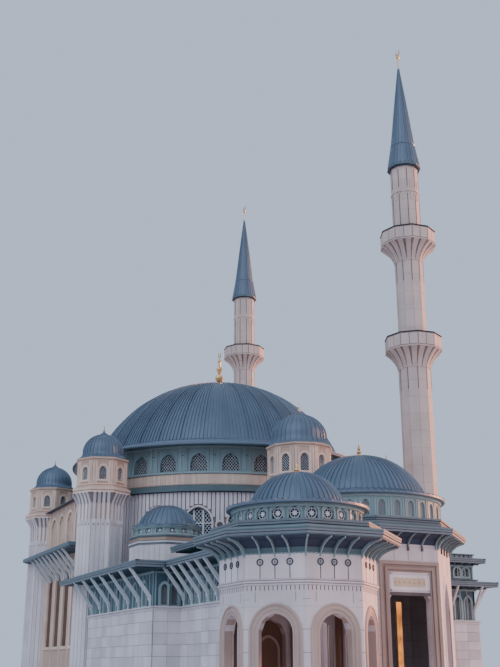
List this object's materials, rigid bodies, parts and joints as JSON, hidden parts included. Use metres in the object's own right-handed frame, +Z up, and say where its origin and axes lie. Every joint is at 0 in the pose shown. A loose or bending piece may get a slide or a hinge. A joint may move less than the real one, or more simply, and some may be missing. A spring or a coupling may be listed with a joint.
{
  "type": "mosque building, scale model at 1:2",
  "caption": "Domed prayer hall with corner turrets, slim minarets, an octagonal entrance portal, a corner pavilion and low wings, at half scale",
  "frame": {"origin": "on the ground under the middle of the main dome, at the mount base", "axes": "+Z up, -Y towards the entrance, -X towards the long canopy side"},
  "size_m": [18.975, 34.21, 31.0469],
  "materials": {
    "stone": "honed pale limestone",
    "warm_stone": "honed warm limestone",
    "lead": "weathered blue-grey roofing sheet with standing seams",
    "patina": "matte pale teal cladding",
    "ledge": "matte dark teal sheet",
    "gold": "polished gilt",
    "glass": "dark window glass"
  },
  "bodies": {
    "root": {"front_turret_masonry": "warm_stone", "front_turret_dome": "lead", "front_left_turret_masonry": "warm_stone", "front_left_turret_dome": "lead", "rear_left_turret_masonry": "warm_stone", "rear_left_turret_dome": "lead", "front_right_turret_masonry": "warm_stone", "front_right_turret_dome": "lead", "rear_right_turret_masonry": "warm_stone", "rear_right_turret_dome": "lead", "rear_turret_masonry": "warm_stone", "rear_turret_dome": "lead", "front_turret_left_pier": "warm_stone", "front_turret_right_pier": "warm_stone", "hall_front_left_wall": "stone", "hall_front_right_wall": "stone", "hall_rear_right_wall": "stone", "hall_rear_left_wall": "stone", "hall_left_facade": "stone", "hall_right_facade": "stone", "hall_floor": "stone", "hall_ledge_roof": "ledge", "stone_band": "warm_stone", "main_drum": "patina", "main_drum_glass": "glass", "main_dome": "lead", "main_finial": "gold", "front_minaret_shaft": "stone", "front_minaret_lower_balcony": "stone", "front_minaret_upper_balcony": "stone", "front_minaret_spire": "lead", "rear_minaret_shaft": "stone", "rear_minaret_lower_balcony": "stone", "rear_minaret_upper_balcony": "stone", "rear_minaret_spire": "lead", "portal_walls": "stone", "portal_roof": "ledge", "portal_drum": "patina", "portal_dome": "lead", "pavilion_arcade": "stone", "pavilion_roof": "ledge", "pavilion_drum": "patina", "pavilion_dome": "lead", "side_dome_base": "stone", "side_dome_drum": "patina", "side_dome_roof": "lead", "left_wing_walls": "patina", "link_wing_walls": "patina", "left_wing_roof": "ledge", "link_wing_roof": "ledge", "upper_storey_walls": "patina", "upper_storey_roof": "ledge", "left_canopy": "ledge", "right_canopy": "ledge", "right_wing_walls": "patina", "right_wing_roof": "ledge", "right_wing_tier_walls": "patina", "right_wing_tier_roof": "ledge", "rear_wing_walls": "patina", "rear_wing_roof": "ledge"}
  },
  "joints": []
}
